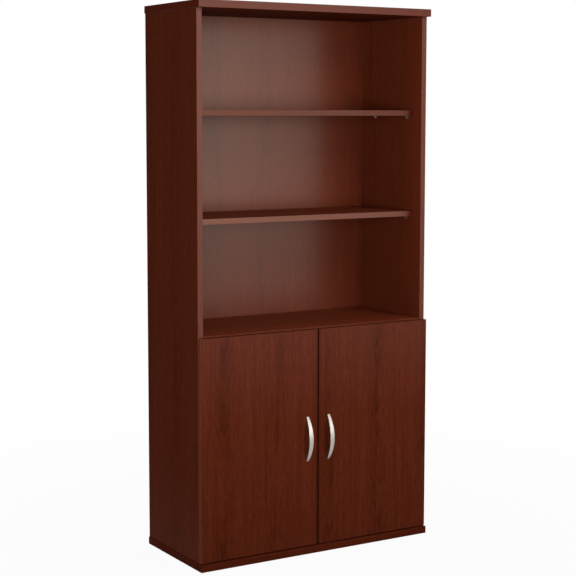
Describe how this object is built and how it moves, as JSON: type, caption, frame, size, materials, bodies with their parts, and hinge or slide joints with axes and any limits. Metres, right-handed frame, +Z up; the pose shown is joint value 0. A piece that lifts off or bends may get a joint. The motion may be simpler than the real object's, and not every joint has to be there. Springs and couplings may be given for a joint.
{
  "type": "bookcase with cabinet doors",
  "caption": "Tall bookcase: open bays with adjustable shelves above a cupboard with paired overlay doors on concealed link hinges.",
  "frame": {"origin": "the centre of the base slab's underside, on the floor", "axes": "+X to the right as seen from the front, +Y to the back, +Z up"},
  "size_m": [0.906, 0.4107, 1.849],
  "materials": {
    "mahogany_laminate": "satin wood-grain laminate on particle board",
    "edge_band": "satin wood-grain plastic band",
    "hardboard": "satin printed hardboard",
    "satin_nickel": "satin nickel plate",
    "plated_steel": "bright zinc plate",
    "cast_zinc": "cast zinc",
    "beech": "raw turned wood",
    "clear_bumper": "soft clear dot"
  },
  "bodies": {
    "case": {"top_slab": "mahogany_laminate", "top_slab_edging": "edge_band", "base_slab": "mahogany_laminate", "base_slab_edging": "edge_band", "side_panel_left": "mahogany_laminate", "side_panel_right": "mahogany_laminate", "side_edging_left": "edge_band", "side_edging_right": "edge_band", "fixed_shelf": "mahogany_laminate", "fixed_shelf_edging": "edge_band", "back_panel_upper": "hardboard", "back_panel_lower": "hardboard", "back_nails": "plated_steel", "dowels": "beech", "cam_locks": "cast_zinc", "cam_bolts": "plated_steel", "base_screws": "plated_steel", "shelf_supports_top": "plated_steel", "shelf_supports_middle": "plated_steel", "shelf_supports_lower": "plated_steel", "hinge_arms_left": "plated_steel", "arm_pins_left": "plated_steel", "arm_screws_left": "plated_steel", "mounting_plates_left": "plated_steel", "plate_screws_left": "plated_steel", "hinge_arms_right": "plated_steel", "arm_pins_right": "plated_steel", "arm_screws_right": "plated_steel", "mounting_plates_right": "plated_steel", "plate_screws_right": "plated_steel"},
    "door_left": {"door_panel_left": "mahogany_laminate", "door_edging_left": "edge_band", "pull_left": "satin_nickel", "pull_screws_left": "plated_steel", "door_bumpers_left": "clear_bumper", "hinge_cups_left": "plated_steel", "cup_screws_left": "plated_steel", "cup_pins_left": "plated_steel"},
    "long_link_pair_left": {"long_links_left": "plated_steel"},
    "short_link_pair_left": {"short_links_left": "plated_steel"},
    "door_right": {"door_panel_right": "mahogany_laminate", "door_edging_right": "edge_band", "pull_right": "satin_nickel", "pull_screws_right": "plated_steel", "door_bumpers_right": "clear_bumper", "hinge_cups_right": "plated_steel", "cup_screws_right": "plated_steel", "cup_pins_right": "plated_steel"},
    "long_link_pair_right": {"long_links_right": "plated_steel"},
    "short_link_pair_right": {"short_links_right": "plated_steel"},
    "shelf_top": {"loose_shelf_top": "mahogany_laminate", "loose_shelf_top_edging": "edge_band"},
    "shelf_middle": {"loose_shelf_middle": "mahogany_laminate", "loose_shelf_middle_edging": "edge_band"},
    "shelf_lower": {"loose_shelf_lower": "mahogany_laminate", "loose_shelf_lower_edging": "edge_band"}
  },
  "joints": [
    {"name": "left_long_links_turn", "type": "hinge", "parent": "case", "child": "long_link_pair_left", "pos_m": [-0.4188, -0.1577, 0.12], "axis": [0, 0, -1], "range_deg": [-26.2, 0]},
    {"name": "left_door_opens", "type": "hinge", "parent": "long_link_pair_left", "child": "door_left", "pos_m": [-0.4415, -0.1775, 0.12], "axis": [0, 0, -1], "range_deg": [0, 121]},
    {"name": "left_short_links_turn", "type": "hinge", "parent": "door_left", "child": "short_link_pair_left", "pos_m": [-0.44005, -0.1828, 0.12], "axis": [0, 0, -1], "range_deg": [-103.8, 0]},
    {"name": "right_long_links_turn", "type": "hinge", "parent": "case", "child": "long_link_pair_right", "pos_m": [0.4188, -0.1577, 0.12], "axis": [0, 0, 1], "range_deg": [-26.2, 0]},
    {"name": "right_door_opens", "type": "hinge", "parent": "long_link_pair_right", "child": "door_right", "pos_m": [0.4415, -0.1775, 0.12], "axis": [0, 0, 1], "range_deg": [0, 121]},
    {"name": "right_short_links_turn", "type": "hinge", "parent": "door_right", "child": "short_link_pair_right", "pos_m": [0.44005, -0.1828, 0.12], "axis": [0, 0, 1], "range_deg": [-103.8, 0]},
    {"name": "top_shelf_lifts", "type": "slide", "parent": "case", "child": "shelf_top", "axis": [0, 0, 1], "range_m": [0, 0.064]},
    {"name": "middle_shelf_lifts", "type": "slide", "parent": "case", "child": "shelf_middle", "axis": [0, 0, 1], "range_m": [0, 0.064]},
    {"name": "lower_shelf_lifts", "type": "slide", "parent": "case", "child": "shelf_lower", "axis": [0, 0, 1], "range_m": [0, 0.064]}
  ],
  "couplings": [
    {"joint": "left_long_links_turn", "follows": "left_door_opens", "ratio": -0.21569},
    {"joint": "left_short_links_turn", "follows": "left_door_opens", "ratio": -0.85647},
    {"joint": "right_long_links_turn", "follows": "right_door_opens", "ratio": -0.21569},
    {"joint": "right_short_links_turn", "follows": "right_door_opens", "ratio": -0.85647}
  ]
}
